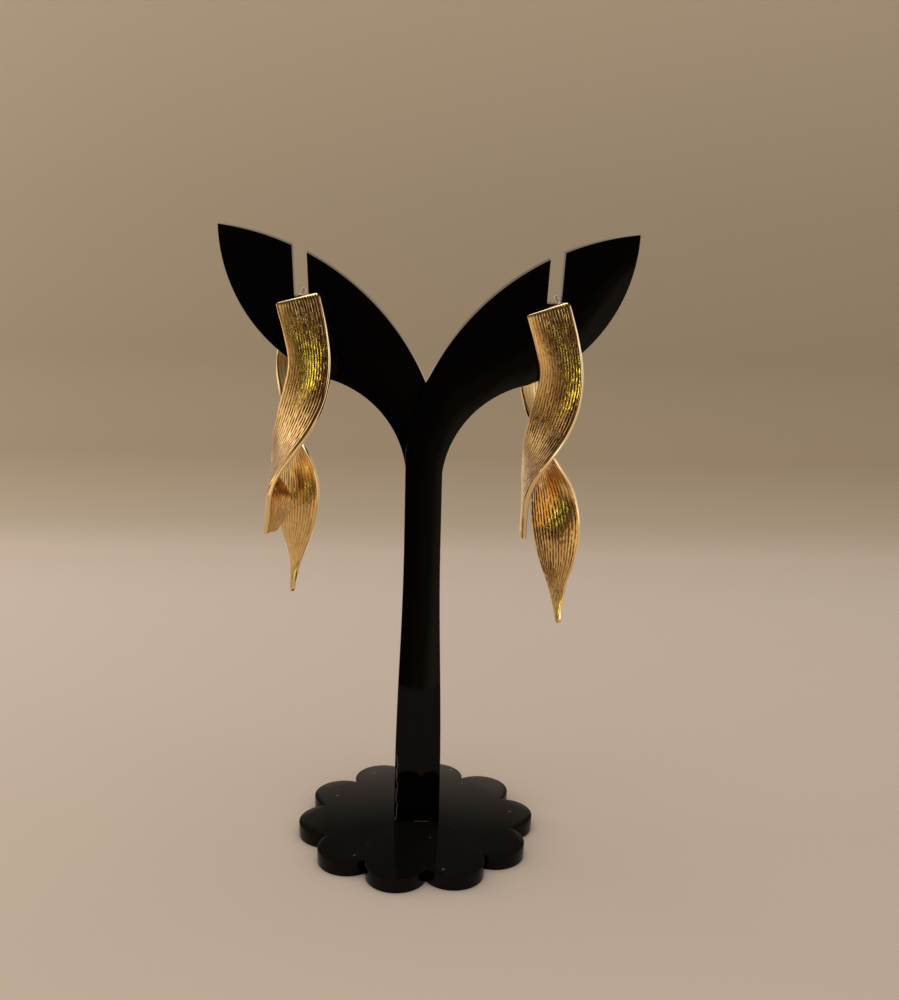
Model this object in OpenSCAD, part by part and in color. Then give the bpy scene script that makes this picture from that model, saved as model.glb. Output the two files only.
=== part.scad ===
// Pair of twisted ribbon drop earrings hanging on a two-armed display stand.
// Millimetres, +Z up, +X to the viewer's right, -Y towards the viewer.
// The origin is on the floor, under the middle of the round base.

/* [View] */
// Piece to show

/* [Sheet] */
// Thickness of every sheet of the stand
sheet = 3; // [2:0.5:5]

/* [Base] */
// Number of scallops round the base
lobes = 10; // [6:1:16]
// Distance from the middle of the base to the middle of a scallop
lobe_ring = 17.65; // [14:0.05:24]
// Radius of each scallop
lobe_r = 5.95; // [4:0.05:8]
// Turn of the base about its middle
base_turn = 12.45; // [0:0.05:36]

/* [Stem] */
// Half width of the stem at its neck
neck_half = 3.45; // [2.5:0.05:6]
// Half width of the stem at its foot
foot_half = 4.5; // [3:0.05:8]
// Height where the stem starts to widen towards its foot
taper_top = 62; // [40:1:70]
// Height where the stem has its full foot width
taper_foot = 12; // [4:1:30]
// Place of the seam between the two uprights, behind the middle of the base
seam_y = 1; // [-1:0.1:3]

/* [Arms] */
// Middle of the circle that the arm's upper edge follows, sideways
crest_x = 42.9; // [36:0.1:50]
// Height of that middle
crest_z = 73.2; // [65:0.1:85]
// Radius of the upper edge
crest_r = 46.75; // [40:0.05:55]
// Middle of the circle that the leaf's lower edge follows, sideways
belly_x = 8.05; // [4:0.05:14]
// Height of that middle
belly_z = 119.9; // [110:0.1:130]
// Radius of the leaf's lower edge
belly_r = 29.65; // [24:0.05:36]
// Middle of the hollow under the arm, sideways
armpit_x = 23.1; // [18:0.1:28]
// Height of that middle
armpit_z = 72.9; // [65:0.1:80]
// Radius of the hollow under the arm
armpit_r = 19.8; // [15:0.1:24]
// Outer end of the arm's root, where the leaf takes over
root_x = 17.5; // [12:0.5:20]

/* [Slots] */
// Distance of each slot's floor from the middle
slot_x = 22.85; // [16:0.05:30]
// Height of the slot's floor
slot_z = 107.1; // [100:0.1:112]
// Width of the slot
slot_w = 2.6; // [1.5:0.1:4]
// Outward lean of the slot
slot_lean = 2.4; // [0:0.1:8]

/* [Posts] */
// Diameter of the earring's post
post_d = 0.8; // [0.6:0.05:1.2]
// Length of the post from the middle of the front blade
post_len = 8.5; // [7:0.5:14]
// Rise of the post towards the back, where the earring droops
post_rise = 3; // [0:0.5:20]
// Gap between post and slot floor
post_gap = 0.1; // [0.05:0.05:0.3]
// Sideways place of the left post
left_post_x = -22.75; // [-23.6:0.05:-22]
// Sideways place of the right post
right_post_x = 23.55; // [22:0.05:23.7]

/* [Blades] */
// Thickness of the blades between the ridges
blade_t = 0.9; // [0.6:0.05:1.5]
// Ridges across each face of a blade
ridges = 13; // [6:1:18]
// Height of a ridge above the blade
ridge_h = 0.16; // [0.05:0.01:0.3]
// Steps along the front blade
front_steps = 27; // [12:1:40]
// Steps along the back blade
back_steps = 30; // [12:1:48]
// Radius of each hidden drop of solder
solder_r = 0.8; // [0.4:0.1:1.5]

/* [Earrings] */
// Height of the left earring from the top of its post to its lowest tip
left_drop = 60.4; // [50:0.05:75]
// Height of the right earring from the top of its post to its lowest tip
right_drop = 64.05; // [50:0.05:75]

/* [Hidden] */
$fn = 96;

// Columns of the blade tables. A blade is a curved strip that twists as it falls.
DROP = 0;   // height of the section, from the blade's own top
OUT = 1;    // place of its middle, to the viewer's right
BACK = 2;   // place of its middle, away from the viewer
WIDTH = 3;  // width, measured round the curve
TURN = 4;   // turn of the strip about the vertical, degrees
CURL = 5;   // angle that the strip bends through across its width, degrees
SLOPE = 6;  // rise of the strip from its left edge to its right edge, degrees

// The front blades swing to the right, turn edge on and end in a narrow hook at the left.
// Both start with the same rows and end a little differently.
//  drop   out  back  width  turn  curl  slope
front_start = [
  [  0.3, -0.1,  0.0,  8.0,   -4,    3,  24],
  [ -5.6,  2.4, -0.2,  8.0,   14,   13,  16],
  [-11.1,  4.1,  0.0,  8.4,   30,   16,  10],
  [-16.7,  4.2,  0.7,  9.7,   42,   10,   5],
  [-22.2,  3.3,  1.4, 10.9,   57,    3,   3]];
left_front_blade = concat(front_start, [
  [-27.8,  2.1,  2.5, 12.0,   77,    4,   2],
  [-33.4,  1.5,  3.2, 11.1,   95,   17,   1],
  [-38.9,  3.3,  3.2,  8.9,  123,   38,   0],
  [-44.5,  2.5,  3.8,  4.2,  120,   55,  -1]]);
right_front_blade = concat(front_start, [
  [-27.8,  1.7,  1.4, 12.0,   79,    4,   2],
  [-33.4,  1.2,  3.0, 11.0,   91,    7,   1],
  [-38.9,  1.8,  3.9,  8.4,   97,   17,   0],
  [-44.5,  2.5,  5.3,  4.3,   96,   39,  -1]]);

// The back blade starts behind the arm, crosses inside the front one and ends as a long leaf.
//  drop   out  back  width  turn  curl  slope
back_blade = [
  [ -2.5, -0.1,  0.5,  9.0,   -1,  -26,   2],
  [ -7.7, -0.4,  0.9,  9.3,   -1,  -28,   2],
  [-14.3, -0.7,  1.6,  9.9,   -8,  -30,   3],
  [-21.0, -0.1,  1.1, 10.4,  -43,  -36,   2],
  [-27.7, -0.8,  0.5, 10.9,  -96,  -45,   0],
  [-34.3, -0.5,  0.6, 10.6, -134,  -55,  -1],
  [-41.0, -0.4,  0.1,  9.9, -152,  -58,  -2],
  [-47.7, -0.5,  0.9,  7.8, -149,  -54,  -2],
  [-54.3, -0.6,  2.2,  4.5, -123,  -46,  -2],
  [-61.0, -0.9,  0.9,  1.5,  -89,  -37,  -3]];

// Where each blade hangs: the point of its own top and its turns about X, Y and Z.
//                 place                    turns
left_front =  [[-23.2, -2.5, 107.0], [-1.7,  9.9,  8.4]];
left_back =   [[-21.9,  4.5, 108.7], [ 2.7,  2.6, -1.3]];
right_front = [[ 21.4, -5.9, 106.5], [ 2.4,  5.4,  2.3]];
right_back =  [[ 22.1,  4.4, 105.1], [-2.8, -5.6,  2.0]];

// Where the solder sits between the edge of the front blade and the back blade.
left_solder = [-26.6, 2.3, 85.8];
right_solder = [19.8, 1.0, 85.3];

// The uprights lie back to back on the seam.
front_y = seam_y - sheet;
rear_y = seam_y + sheet;
post_z = slot_z + post_gap + post_d / 2;

// Value of one column at t from 0 (top) to 1 (tip), on a smooth curve through the rows.
function row_value(table, i, col) =
  i < 0 ? 2 * table[0][col] - table[1][col] :
  i > len(table) - 1 ? 2 * table[i - 1][col] - table[i - 2][col] : table[i][col];
function curve4(a, b, c, d, f) =
  (2 * b + (c - a) * f + (2 * a - 5 * b + 4 * c - d) * f * f + (3 * b - a - 3 * c + d) * f * f * f) / 2;
function along(table, col, t) =
  let (x = t * (len(table) - 1), i = min(floor(x), len(table) - 2))
  curve4(row_value(table, i - 1, col), row_value(table, i, col),
         row_value(table, i + 1, col), row_value(table, i + 2, col), x - i);

// A curl near zero is held away from it, so that the bend keeps a radius.
function safe_curl(c) = abs(c) < 2 ? (c < 0 ? -2 : 2) : c;

// One point of a blade: s runs across it from -0.5 to 0.5, lift is along the outer face's normal.
function blade_point(table, t, s, lift) =
  let (w = along(table, WIDTH, t), turn = along(table, TURN, t), slope = along(table, SLOPE, t),
       curl = safe_curl(along(table, CURL, t)), r = w * 180 / PI / curl,
       across = (r + lift) * sin(s * curl), bulge = (r + lift) * cos(s * curl) - r * cos(curl / 2))
  [along(table, OUT, t) + across * cos(turn) * cos(slope) - bulge * sin(turn),
   along(table, BACK, t) - across * sin(turn) * cos(slope) - bulge * cos(turn),
   along(table, DROP, t) + across * sin(slope)];

// Half thickness at step k across: odd steps are the tops of ridges.
function half_t(k) = blade_t / 2 + (k % 2 == 1 ? ridge_h : 0);

// One section: across the outer face, then back across the inner face.
function blade_section(table, t) =
  let (n = 2 * ridges)
  concat([for (k = [0 : n]) blade_point(table, t, k / n - 0.5, half_t(k))],
         [for (k = [n : -1 : 0]) blade_point(table, t, k / n - 0.5, -half_t(k))]);

// A blade in its own place, with its top at the origin.
module blade(table, steps) {
  m = 4 * ridges + 2;
  points = [for (i = [0 : steps]) each blade_section(table, i / steps)];
  walls = [for (i = [0 : steps - 1], k = [0 : m - 1])
    let (a = i * m + k, b = i * m + (k + 1) % m) each [[a, b, b + m], [a, b + m, a + m]]];
  ends = [for (k = [0 : 2 * ridges - 1]) each
    let (a = k, b = k + 1, c = m - 2 - k, d = m - 1 - k, e = steps * m)
    [[a, c, b], [a, d, c], [e + a, e + b, e + c], [e + a, e + c, e + d]]];
  polyhedron(points = points, faces = concat(walls, ends));
}

// Moves a blade to where it hangs.
module hang(place) {
  translate(place[0]) rotate(place[1]) children();
}

// Axis of a post, starting at y. It rests at [x, y] on the front edge of the slot floor.
module on_post(rest, y) {
  translate([rest[0], y, post_z + (y - rest[1]) * tan(post_rise)])
    rotate([post_rise - 90, 0, 0]) children();
}

// One soldered earring: front blade, back blade, post and the solder at the crossing.
module earring(front_blade, front, back, solder, rest, drop) {
  top = [0, 0, slot_z];
  color("gold")
    translate(top)
      resize([0, 0, drop])
        translate(-top) {
          hang(front) blade(front_blade, front_steps);
          hang(back) blade(back_blade, back_steps);
          translate(solder) sphere(r = solder_r, $fn = 16);
          on_post(rest, front[0][1] + solder_r) translate([0, solder_r / 2, 0])
            sphere(r = solder_r, $fn = 16);
          on_post(rest, front[0][1]) cylinder(h = post_len, d = post_d, $fn = 16);
        }
}

// Outline of one upright, with its arm towards +X.
module upright_outline() {
  mid = (taper_top + taper_foot) / 2;
  swell = foot_half - neck_half;
  bend = (taper_top - taper_foot) / 4;
  side_points = [[foot_half, sheet], [foot_half, taper_foot], [neck_half + 0.9 * swell, mid - bend],
                 [neck_half + 0.1 * swell, mid + bend], [neck_half, taper_top], [neck_half, armpit_z + 2]];
  far_points = [for (i = [len(side_points) - 1 : -1 : 0]) [-side_points[i][0], side_points[i][1]]];
  polygon(concat(side_points, far_points));
  difference() {
    intersection() {
      translate([crest_x, crest_z]) circle(r = crest_r);
      union() {
        translate([belly_x, belly_z]) circle(r = belly_r);
        translate([-neck_half, armpit_z + 2]) square([root_x + neck_half, 17]);
      }
      translate([-neck_half, armpit_z]) square([60, 60]);
    }
    translate([armpit_x, armpit_z]) circle(r = armpit_r);
    translate([slot_x, slot_z]) rotate(-slot_lean) translate([-slot_w / 2, 0]) square([slot_w, 20]);
  }
}

// One upright standing on the base, its back on back_y, its arm to side 1 or -1.
module upright(side, back_y) {
  color([0.03, 0.03, 0.035])
    translate([0, back_y, 0]) rotate([90, 0, 0]) linear_extrude(sheet)
      mirror([side < 0 ? 1 : 0, 0]) upright_outline();
}

// Round scalloped base.
module base_plate() {
  color([0.03, 0.03, 0.035])
    linear_extrude(sheet)
      rotate(180 - base_turn - 180 / lobes) {
        circle(r = lobe_ring);
        for (k = [0 : lobes - 1]) rotate(k * 360 / lobes) translate([lobe_ring, 0]) circle(r = lobe_r);
      }
}

// Upright with the right arm, in front of the seam.
module front_upright() {
  upright(1, seam_y);
}

// Upright with the left arm, behind the seam.
module rear_upright() {
  upright(-1, rear_y);
}

// Earring in the left arm's slot.
module left_earring() {
  earring(left_front_blade, left_front, left_back, left_solder, [left_post_x, seam_y], left_drop);
}

// Earring in the right arm's slot.
module right_earring() {
  earring(right_front_blade, right_front, right_back, right_solder, [right_post_x, front_y], right_drop);
}

base_plate();
front_upright();
rear_upright();
left_earring();
right_earring();
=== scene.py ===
"""Pair of ribbed ribbon drop earrings hanging on a glossy black two-armed stand.

Lengths inside the classes are millimetres and are turned into metres when a mesh is made.
X points to the viewer's right, Y away from the viewer and Z up, with the origin on the floor.
"""

from __future__ import annotations

import logging
import math
from collections.abc import Callable, Sequence
from dataclasses import dataclass, field
from enum import Enum

import bmesh
import bpy
import numpy as np
from mathutils import Euler, Matrix, Vector

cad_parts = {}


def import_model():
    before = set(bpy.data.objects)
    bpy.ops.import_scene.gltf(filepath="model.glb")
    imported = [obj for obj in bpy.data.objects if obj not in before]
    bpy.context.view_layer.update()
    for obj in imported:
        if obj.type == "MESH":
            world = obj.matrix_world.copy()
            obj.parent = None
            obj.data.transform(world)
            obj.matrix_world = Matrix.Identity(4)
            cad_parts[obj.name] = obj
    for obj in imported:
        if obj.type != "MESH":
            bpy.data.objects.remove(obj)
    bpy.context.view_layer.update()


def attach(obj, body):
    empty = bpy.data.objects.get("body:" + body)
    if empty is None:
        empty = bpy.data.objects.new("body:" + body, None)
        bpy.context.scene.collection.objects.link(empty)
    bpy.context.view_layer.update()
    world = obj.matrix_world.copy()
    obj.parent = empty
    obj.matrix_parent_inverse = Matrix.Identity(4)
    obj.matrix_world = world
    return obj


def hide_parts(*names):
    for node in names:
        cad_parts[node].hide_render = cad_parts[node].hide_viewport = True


LOG = logging.getLogger("earrings")
MM = 0.001
BODY = "root"
Outputs = bpy.types.bpy_prop_collection


class Side(Enum):
    """The two sides of the stand, as the viewer sees them."""

    LEFT = -1
    RIGHT = 1

    @property
    def word(self) -> str:
        """Name of the side, for pieces and nodes."""
        return self.name.lower()


class Slot(Enum):
    """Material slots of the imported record."""

    ACRYLIC = "black_acrylic"
    GOLD = "gold_metal"


class Column(Enum):
    """Columns of a blade's table."""

    DROP = 0
    OUT = 1
    BACK = 2
    WIDTH = 3
    TURN = 4
    CURL = 5
    SLOPE = 6


# Node tree helpers


class TreeBuilder:
    """Adds nodes to one node tree and links them in short lines."""

    PER_ROW = 12
    SPACING = (180, -220)

    def __init__(self, tree: bpy.types.NodeTree) -> None:
        """Starts on a tree.

        Args:
            tree: the tree that gets the nodes.
        """
        self.tree = tree
        self.count = 0

    def node(self, kind: str, inputs: dict | None = None, **settings: object) -> bpy.types.Node:
        """Adds one node.

        Args:
            kind: the node's type name.
            inputs: values or output sockets for its inputs, by name or index.
            settings: properties of the node.

        Returns:
            The new node.
        """
        new = self.tree.nodes.new(kind)
        row, column = divmod(self.count, self.PER_ROW)
        new.location = (self.SPACING[0] * column, self.SPACING[1] * row)
        self.count += 1
        for name, value in settings.items():
            setattr(new, name, value)
        for name, value in (inputs or {}).items():
            self.put(new.inputs[name], value)
        return new

    def put(self, socket: bpy.types.NodeSocket, value: object) -> None:
        """Links an output to a socket, or sets its plain value.

        Args:
            socket: the input socket.
            value: an output socket, a number, or a tuple.
        """
        if isinstance(value, bpy.types.NodeSocket):
            self.tree.links.new(value, socket)
        else:
            socket.default_value = value

    def math(self, operation: str, *values: object, clamp: bool = False) -> bpy.types.NodeSocket:
        """Adds a Math node.

        Args:
            operation: the operation's name.
            values: its inputs in order.
            clamp: whether the result stays between 0 and 1.

        Returns:
            The node's output.
        """
        inputs = dict(enumerate(values))
        return self.node("ShaderNodeMath", inputs, operation=operation, use_clamp=clamp).outputs[0]

    def times(self, first: object, second: object) -> bpy.types.NodeSocket:
        """Product of two numbers."""
        return self.math("MULTIPLY", first, second)

    def noise(self, vector: object, scale: float, detail: float = 2.0,
              roughness: float = 0.5) -> bpy.types.NodeSocket:
        """Adds a noise texture.

        Args:
            vector: where the noise is read.
            scale: how fine the noise is.
            detail: octaves.
            roughness: weight of the finer octaves.

        Returns:
            The noise value, from 0 to 1.
        """
        inputs = {"Vector": vector, "Scale": scale, "Detail": detail, "Roughness": roughness}
        return self.node("ShaderNodeTexNoise", inputs).outputs[0]

    def spread(self, value: object, low: object, high: object, to_low: object = 0.0,
               to_high: object = 1.0) -> bpy.types.NodeSocket:
        """Maps one range onto another, clamped.

        Args:
            value: the input.
            low: start of the input's range.
            high: end of the input's range.
            to_low: start of the result's range.
            to_high: end of the result's range.

        Returns:
            The mapped value.
        """
        inputs = {0: value, 1: low, 2: high, 3: to_low, 4: to_high}
        return self.node("ShaderNodeMapRange", inputs, clamp=True).outputs[0]

    def blend(self, mask: object, first: object, second: object) -> bpy.types.NodeSocket:
        """Mixes two colours.

        Args:
            mask: 0 gives the first colour, 1 the second.
            first: a colour or an output.
            second: a colour or an output.

        Returns:
            The mixed colour.
        """
        inputs = {"Factor": mask, 6: first, 7: second}
        return self.node("ShaderNodeMix", inputs, data_type="RGBA").outputs[2]

    def vector(self, x: object = 0.0, y: object = 0.0, z: object = 0.0) -> bpy.types.NodeSocket:
        """Joins three numbers into a vector."""
        return self.node("ShaderNodeCombineXYZ", {0: x, 1: y, 2: z}).outputs[0]

    def axes(self, vector: object) -> tuple[bpy.types.NodeSocket, ...]:
        """The three numbers of a vector."""
        return tuple(self.node("ShaderNodeSeparateXYZ", {0: vector}).outputs)

    def scaled(self, vector: object, factor: object) -> bpy.types.NodeSocket:
        """A vector times a number."""
        inputs = {0: vector, "Scale": factor}
        return self.node("ShaderNodeVectorMath", inputs, operation="SCALE").outputs[0]

    def dot(self, first: object, second: object) -> bpy.types.NodeSocket:
        """Dot product of two vectors."""
        inputs = {0: first, 1: second}
        return self.node("ShaderNodeVectorMath", inputs, operation="DOT_PRODUCT").outputs["Value"]

    def object_place(self) -> bpy.types.NodeSocket:
        """Object coordinates."""
        return self.node("ShaderNodeTexCoord").outputs["Object"]

    def attribute(self, name: str) -> bpy.types.NodeSocket:
        """A number that the mesh carries, for a material."""
        return self.node("ShaderNodeAttribute", attribute_name=name).outputs["Fac"]

    def group(self, tree: bpy.types.NodeTree, **values: float) -> Outputs:
        """Places a shared group with its own values, and gives its outputs."""
        return self.node("ShaderNodeGroup", values, node_tree=tree).outputs

    def bump(self, height: object, distance: float, strength: float) -> bpy.types.NodeSocket:
        """Normal of a surface with fine relief, whose distance is in metres."""
        inputs = {"Height": height, "Distance": distance, "Strength": strength}
        return self.node("ShaderNodeBump", inputs).outputs[0]


def start_tree(owner: bpy.types.ID) -> TreeBuilder:
    """Empties the node tree of a material or a world.

    Args:
        owner: the material or world.

    Returns:
        A builder on its tree.
    """
    owner.use_nodes = True
    owner.node_tree.nodes.clear()
    return TreeBuilder(owner.node_tree)


def new_group(name: str, kind: str, ins: Sequence[tuple],
              outs: Sequence[tuple]) -> tuple[TreeBuilder, Outputs]:
    """Starts a node group with its named sockets.

    Args:
        name: name of the group.
        kind: its tree type.
        ins: name, socket type and default value of each input.
        outs: name and socket type of each output.

    Returns:
        A builder on the group, and the outputs of its Group Input.
    """
    make = TreeBuilder(bpy.data.node_groups.new(name, kind))
    sockets = make.tree.interface
    for title, sort, default in ins:
        socket = sockets.new_socket(title, in_out="INPUT", socket_type=f"NodeSocket{sort}")
        if default is not None:
            socket.default_value = default
    for title, sort in outs:
        sockets.new_socket(title, in_out="OUTPUT", socket_type=f"NodeSocket{sort}")
    return make, make.node("NodeGroupInput").outputs


def new_geometry_group(name: str, sizes: Sequence[tuple]) -> tuple[TreeBuilder, Outputs]:
    """Starts a geometry group, which takes a mesh, its sizes and a material.

    Args:
        name: name of the group.
        sizes: name, socket type and default value of each size.

    Returns:
        A builder on the group, and the outputs of its Group Input.
    """
    ins = [("Geometry", "Geometry", None), *sizes, ("Material", "Material", None)]
    return new_group(name, "GeometryNodeTree", ins, [("Geometry", "Geometry")])


def end_geometry_group(make: TreeBuilder, mesh: bpy.types.NodeSocket,
                       material: bpy.types.NodeSocket) -> bpy.types.NodeTree:
    """Ends a geometry group in Realize Instances and Set Material.

    Args:
        make: builder on the group.
        mesh: the finished shape.
        material: the group's material input.

    Returns:
        The group.
    """
    real = make.node("GeometryNodeRealizeInstances", {"Geometry": mesh})
    finished = make.node("GeometryNodeSetMaterial", {"Geometry": real.outputs[0], "Material": material})
    make.node("NodeGroupOutput", {0: finished.outputs[0]})
    return make.tree


# Shared shader effects


@dataclass
class SharedEffects:
    """Shader node groups that more than one finish uses. Edges are the two ends of a fade."""

    smear_scale: float = 70.0
    smear_edge: tuple = (0.38, 0.72)
    rub_scale: float = 900.0
    speck_scale: float = 420.0
    speck_edge: tuple = (0.10, 0.17)
    clump_scale: float = 60.0
    clump_edge: tuple = (0.42, 0.66)
    film_scale: float = 130.0
    upward_edge: tuple = (0.5, 0.9)
    wear: bpy.types.NodeTree = field(init=False)
    dust: bpy.types.NodeTree = field(init=False)

    def __post_init__(self) -> None:
        """Builds each group once."""
        self.wear = self.build_wear()
        self.dust = self.build_dust()

    def build_wear(self) -> bpy.types.NodeTree:
        """Faint smears and fine rub marks left by handling.

        Returns:
            A group with a Smear mask and a Height.
        """
        make, given = new_group("handling_wear", "ShaderNodeTree",
                                [("Scale", "Float", 1.0), ("Stretch", "Float", 1.0)],
                                [("Smear", "Float"), ("Height", "Float")])
        x, y, z = make.axes(make.scaled(make.object_place(), given["Scale"]))
        drawn = make.vector(x, y, make.math("DIVIDE", z, given["Stretch"]))
        broad = make.noise(drawn, self.smear_scale, detail=3.0, roughness=0.6)
        fine = make.noise(drawn, self.rub_scale, detail=3.0, roughness=0.7)
        make.node("NodeGroupOutput", {"Smear": make.spread(broad, *self.smear_edge), "Height": fine})
        return make.tree

    def build_dust(self) -> bpy.types.NodeTree:
        """Sparse pale specks on faces that look up, and a thin film between them.

        Returns:
            A group with a Specks mask and a Film mask.
        """
        make, given = new_group("settled_dust", "ShaderNodeTree", [("Amount", "Float", 0.5)],
                                [("Specks", "Float"), ("Film", "Float")])
        place = make.object_place()
        cells = make.node("ShaderNodeTexVoronoi", {"Vector": place, "Scale": self.speck_scale})
        near = make.spread(cells.outputs["Distance"], *self.speck_edge, 1.0, 0.0)
        pick = make.node("ShaderNodeSeparateColor", {0: cells.outputs["Color"]}).outputs[0]
        keep = make.math("GREATER_THAN", given["Amount"], pick)
        clump = make.spread(make.noise(place, self.clump_scale), *self.clump_edge)
        facing = make.node("ShaderNodeNewGeometry").outputs["Normal"]
        upward = make.spread(make.axes(facing)[2], *self.upward_edge)
        specks = make.times(make.times(near, keep), make.times(clump, upward))
        film = make.times(make.noise(place, self.film_scale, detail=4.0, roughness=0.65), upward)
        make.node("NodeGroupOutput", {"Specks": specks, "Film": film})
        return make.tree


# Finishes


def new_material(name: str) -> tuple[bpy.types.Material, TreeBuilder, bpy.types.Node]:
    """Starts a material with a Principled shader.

    Args:
        name: the material's name.

    Returns:
        The material, a builder on its tree, and the shader node.
    """
    material = bpy.data.materials.new(name)
    make = start_tree(material)
    shader = make.node("ShaderNodeBsdfPrincipled")
    make.node("ShaderNodeOutputMaterial", {"Surface": shader.outputs[0]})
    return material, make, shader


@dataclass(frozen=True)
class GoldFinish:
    """Gold plating: pale and amber in random patches, with painted shade that darkens the grooves between
    the ridges to deep brown, brushed lengthwise.

    Edges are the two ends of a fade, most of them in the mesh's ridge, ribbed or relief.
    """

    pale: tuple = (0.98, 0.71, 0.31, 1.0)
    amber: tuple = (0.82, 0.48, 0.16, 1.0)
    # Deep: colour of the painted shade in the grooves, and of the random pits of the grain.
    deep: tuple = (0.13, 0.05, 0.012, 1.0)
    rim: tuple = (0.96, 0.70, 0.36, 1.0)
    polish: float = 0.05
    dullness: float = 0.12
    satin: float = 0.14
    unpolished: float = 0.35
    wear_scale: float = 1.6
    wear_stretch: float = 2.5
    cast_scale: float = 2.6
    cast_across: float = 9.0
    grain_across: float = 46.0
    grain_down: float = 7.0
    pit_share: float = 0.55
    rub: float = 0.4
    bump: float = 0.00004
    bump_strength: float = 0.7
    amber_edge: tuple = (0.40, 0.66)
    high_edge: tuple = (0.9, 1.3)
    groove_shade_starts: tuple = (0.55, 0.80)
    groove_shade_end: float = 0.98
    plain_edge: tuple = (0.0, 0.8)
    pit_edge: tuple = (0.60, 0.76)
    rim_edge: tuple = (0.0, 0.6)
    raw_edge: tuple = (0.1, 0.2)
    satin_edge: tuple = (0.4, 1.0)

    def build(self, effects: SharedEffects) -> bpy.types.Material:
        """Builds the material.

        Args:
            effects: the shared groups.

        Returns:
            The gold material.
        """
        material, make, shader = new_material("gold_plate")
        names = ("ridge", "ribbed", "relief", "across", "down")
        ridge, ribbed, relief, across, down = (make.attribute(name) for name in names)
        wear = make.group(effects.wear, Scale=self.wear_scale, Stretch=self.wear_stretch)
        spot = make.vector(make.times(across, self.cast_across), down)
        cast = make.noise(spot, self.cast_scale, detail=4.0, roughness=0.65)
        streaks = make.vector(make.times(across, self.grain_across), make.times(down, self.grain_down))
        grain = make.noise(streaks, 1.0, detail=3.0, roughness=0.7)
        tone = make.blend(make.spread(cast, *self.amber_edge), self.pale, self.amber)
        # Painted shade: the grooves between the ridges are darkened towards the deep colour, more where the
        # ridges stand higher. The pits below are random marks of the grain.
        start = make.spread(relief, *self.high_edge, *self.groove_shade_starts)
        groove = make.times(make.spread(ridge, start, self.groove_shade_end, 1.0, 0.0),
                            make.times(ribbed, make.spread(relief, *self.plain_edge)))
        pits = make.times(make.spread(grain, *self.pit_edge), make.times(ribbed, self.pit_share))
        tone = make.blend(make.math("MAXIMUM", groove, pits), tone, self.deep)
        tone = make.blend(make.spread(ribbed, *self.rim_edge, 1.0, 0.0), tone, self.rim)
        make.put(shader.inputs["Base Color"], tone)
        shader.inputs["Metallic"].default_value = 1.0
        raw = make.times(make.spread(relief, *self.raw_edge, 1.0, 0.0), ribbed)
        satin = make.times(make.spread(relief, *self.satin_edge, self.satin, 0.0), ribbed)
        satin = make.math("MULTIPLY_ADD", raw, self.unpolished, satin)
        matt = make.math("MULTIPLY_ADD", wear["Smear"], self.dullness - self.polish, self.polish)
        make.put(shader.inputs["Roughness"], make.math("ADD", matt, satin))
        fine = make.math("MULTIPLY_ADD", wear["Height"], self.rub, make.times(grain, ribbed))
        make.put(shader.inputs["Normal"], make.bump(fine, self.bump, self.bump_strength))
        return material


@dataclass(frozen=True)
class AcrylicFinish:
    """Glossy black sheet with faint smears and a little settled dust."""

    black: tuple = (0.0011, 0.0009, 0.0008, 1.0)
    dust: tuple = (0.12, 0.11, 0.10, 1.0)
    film: float = 0.035
    amount: float = 0.18
    polish: float = 0.035
    smear: float = 0.10
    speck_dullness: float = 0.4
    wear_scale: float = 0.5
    wear_stretch: float = 1.0
    ior: float = 1.22
    bump: float = 0.000004
    bump_strength: float = 0.15

    def build(self, effects: SharedEffects) -> bpy.types.Material:
        """Builds the material.

        Args:
            effects: the shared groups.

        Returns:
            The black acrylic material.
        """
        material, make, shader = new_material("black_acrylic")
        wear = make.group(effects.wear, Scale=self.wear_scale, Stretch=self.wear_stretch)
        dust = make.group(effects.dust, Amount=self.amount)
        cover = make.math("ADD", make.times(dust["Film"], self.film), dust["Specks"], clamp=True)
        make.put(shader.inputs["Base Color"], make.blend(cover, self.black, self.dust))
        gloss = make.math("MULTIPLY_ADD", wear["Smear"], self.smear - self.polish, self.polish)
        gloss = make.math("MULTIPLY_ADD", dust["Specks"], self.speck_dullness, gloss)
        make.put(shader.inputs["Roughness"], gloss)
        shader.inputs["IOR"].default_value = self.ior
        make.put(shader.inputs["Normal"], make.bump(wear["Height"], self.bump, self.bump_strength))
        return material


@dataclass(frozen=True)
class CementFinish:
    """Dried solvent cement: a thin greyish bead, darker and duller where it is smeared."""

    light: tuple = (0.065, 0.058, 0.052)
    dark_share: float = 0.45
    polish: float = 0.30
    dullness: float = 0.50
    wear_scale: float = 1.2
    wear_stretch: float = 1.0
    ior: float = 1.45

    def build(self, effects: SharedEffects) -> bpy.types.Material:
        """Builds the material.

        Args:
            effects: the shared groups.

        Returns:
            The cement material.
        """
        material, make, shader = new_material("dried_cement")
        smear = make.group(effects.wear, Scale=self.wear_scale, Stretch=self.wear_stretch)["Smear"]
        light, dark = ((*(v * share for v in self.light), 1.0) for share in (1.0, self.dark_share))
        make.put(shader.inputs["Base Color"], make.blend(smear, light, dark))
        matt = make.math("MULTIPLY_ADD", smear, self.dullness - self.polish, self.polish)
        make.put(shader.inputs["Roughness"], matt)
        shader.inputs["IOR"].default_value = self.ior
        return material


# Meshes


def new_piece(name: str, points: Sequence, faces: Sequence[Sequence[int]]) -> bpy.types.Object:
    """Makes a mesh object at the origin, with its place in its mesh.

    Args:
        name: name of the piece.
        points: corners in millimetres.
        faces: corner numbers of each face.

    Returns:
        The linked object.
    """
    metres = np.array([tuple(p) for p in points], float) * MM
    mesh = bpy.data.meshes.new(name)
    mesh.from_pydata(metres.tolist(), [], [list(f) for f in faces])
    mesh.validate()
    mesh.update()
    piece = bpy.data.objects.new(name, mesh)
    bpy.context.scene.collection.objects.link(piece)
    return piece


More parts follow.
